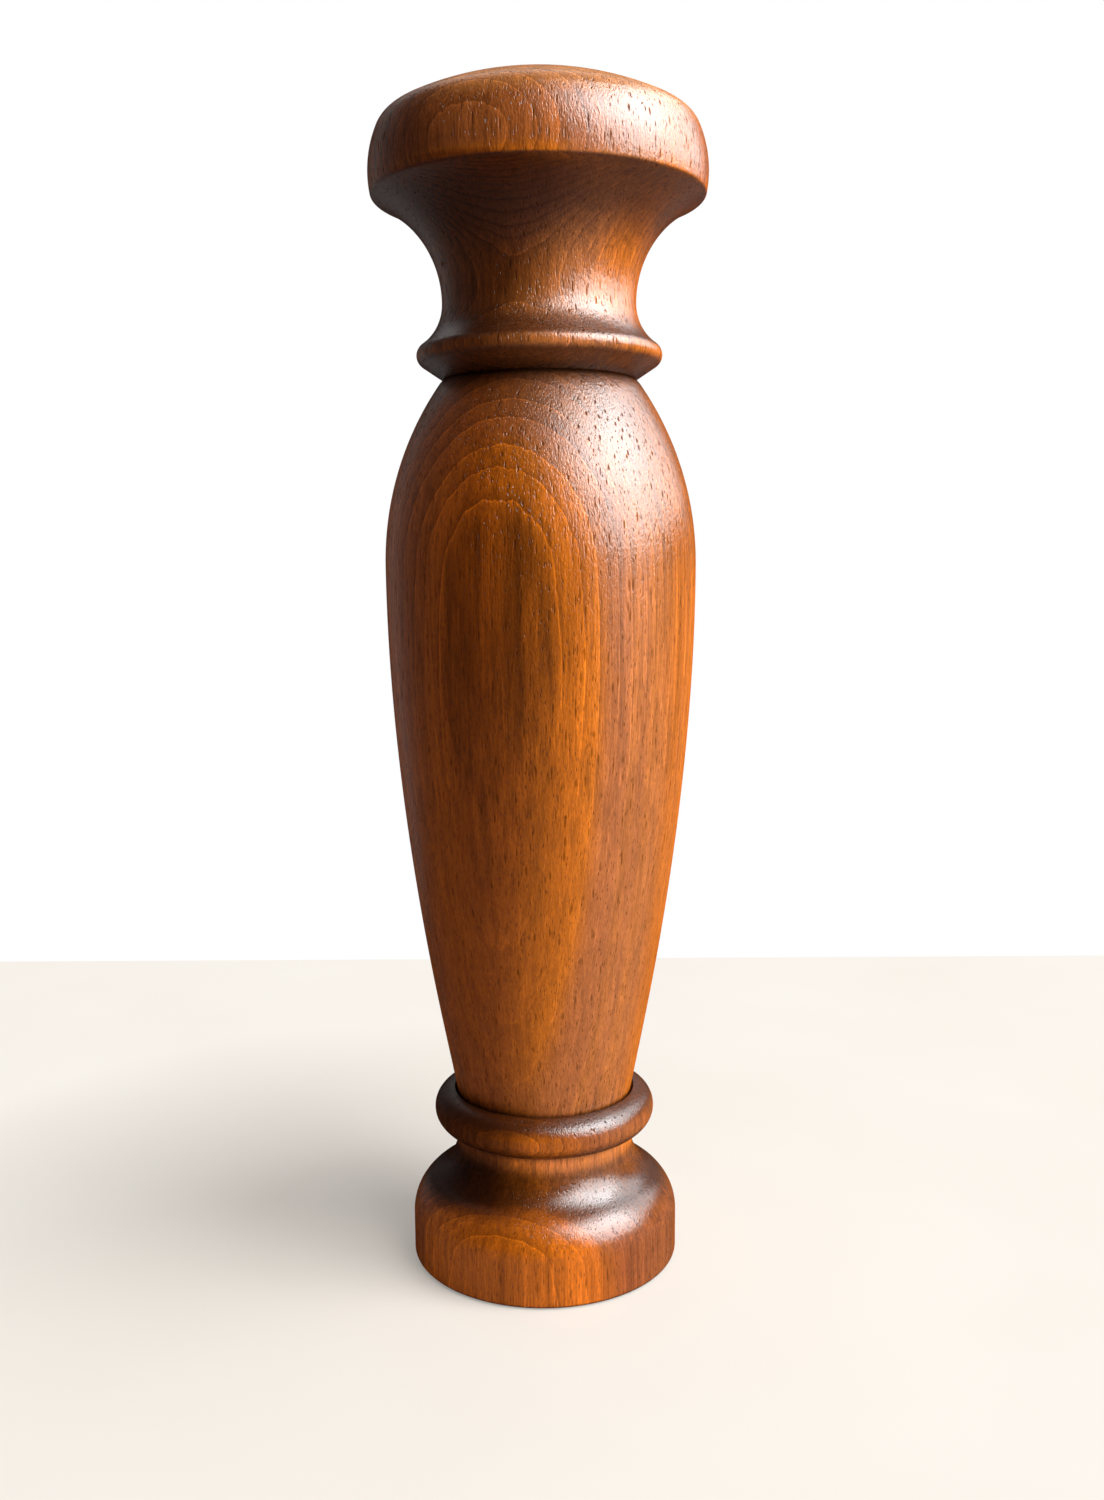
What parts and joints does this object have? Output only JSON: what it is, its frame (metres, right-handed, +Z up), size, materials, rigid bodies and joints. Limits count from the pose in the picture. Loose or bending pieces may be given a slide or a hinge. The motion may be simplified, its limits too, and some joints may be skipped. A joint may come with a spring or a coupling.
{
  "type": "pepper mill",
  "caption": "Turned wooden pepper mill with a domed head that turns a shaft and a conical burr grinder, adjusted by a knob under the foot.",
  "frame": {"origin": "on the table, under the middle of the foot", "axes": "+Z up along the turning axis, -Y towards the viewer"},
  "size_m": [0.073, 0.073, 0.262],
  "materials": {
    "turned_wood": "satin oil",
    "moulded_plastic": "moulded",
    "burr_ceramic": "matt",
    "drawn_aluminium": "drawn",
    "bush_brass": "turned",
    "stamped_steel": "brushed",
    "spring_steel": "tempered",
    "screw_steel": "plated",
    "grip_rubber": "matt"
  },
  "bodies": {
    "body": {"mill_body": "turned_wood", "grinder_housing": "moulded_plastic", "shaft_bush": "bush_brass", "outer_burr": "burr_ceramic", "retaining_plate": "stamped_steel", "housing_screws": "screw_steel"},
    "shaft": {"drive_shaft": "drawn_aluminium", "thrust_washer": "stamped_steel", "upper_clip": "spring_steel", "lower_clip": "spring_steel", "spring_washer": "stamped_steel", "burr_spring": "spring_steel", "end_clip": "spring_steel"},
    "burr": {"inner_burr": "burr_ceramic", "burr_carrier": "moulded_plastic"},
    "knob": {"adjusting_knob": "moulded_plastic"},
    "head": {"mill_head": "turned_wood", "drive_insert": "moulded_plastic", "insert_screws": "screw_steel", "grip_ring": "grip_rubber"}
  },
  "joints": [
    {"name": "grind_turn", "type": "hinge", "parent": "body", "child": "shaft", "pos_m": [0, 0, 0.1], "axis": [0, 0, 1], "continuous": true},
    {"name": "head_lift", "type": "slide", "parent": "shaft", "child": "head", "axis": [0, 0, 1], "range_m": [0, 0.045]},
    {"name": "burr_travel", "type": "slide", "parent": "shaft", "child": "burr", "axis": [0, 0, 1], "range_m": [-0.001, 0.0005], "deforming": ["burr_spring"]},
    {"name": "knob_turn", "type": "hinge", "parent": "burr", "child": "knob", "pos_m": [0, 0, 0.007], "axis": [0, 0, 1], "range_deg": [-240, 120]}
  ],
  "couplings": [
    {"joint": "knob_turn", "follows": "burr_travel", "rad_per_m": 4188.8}
  ]
}
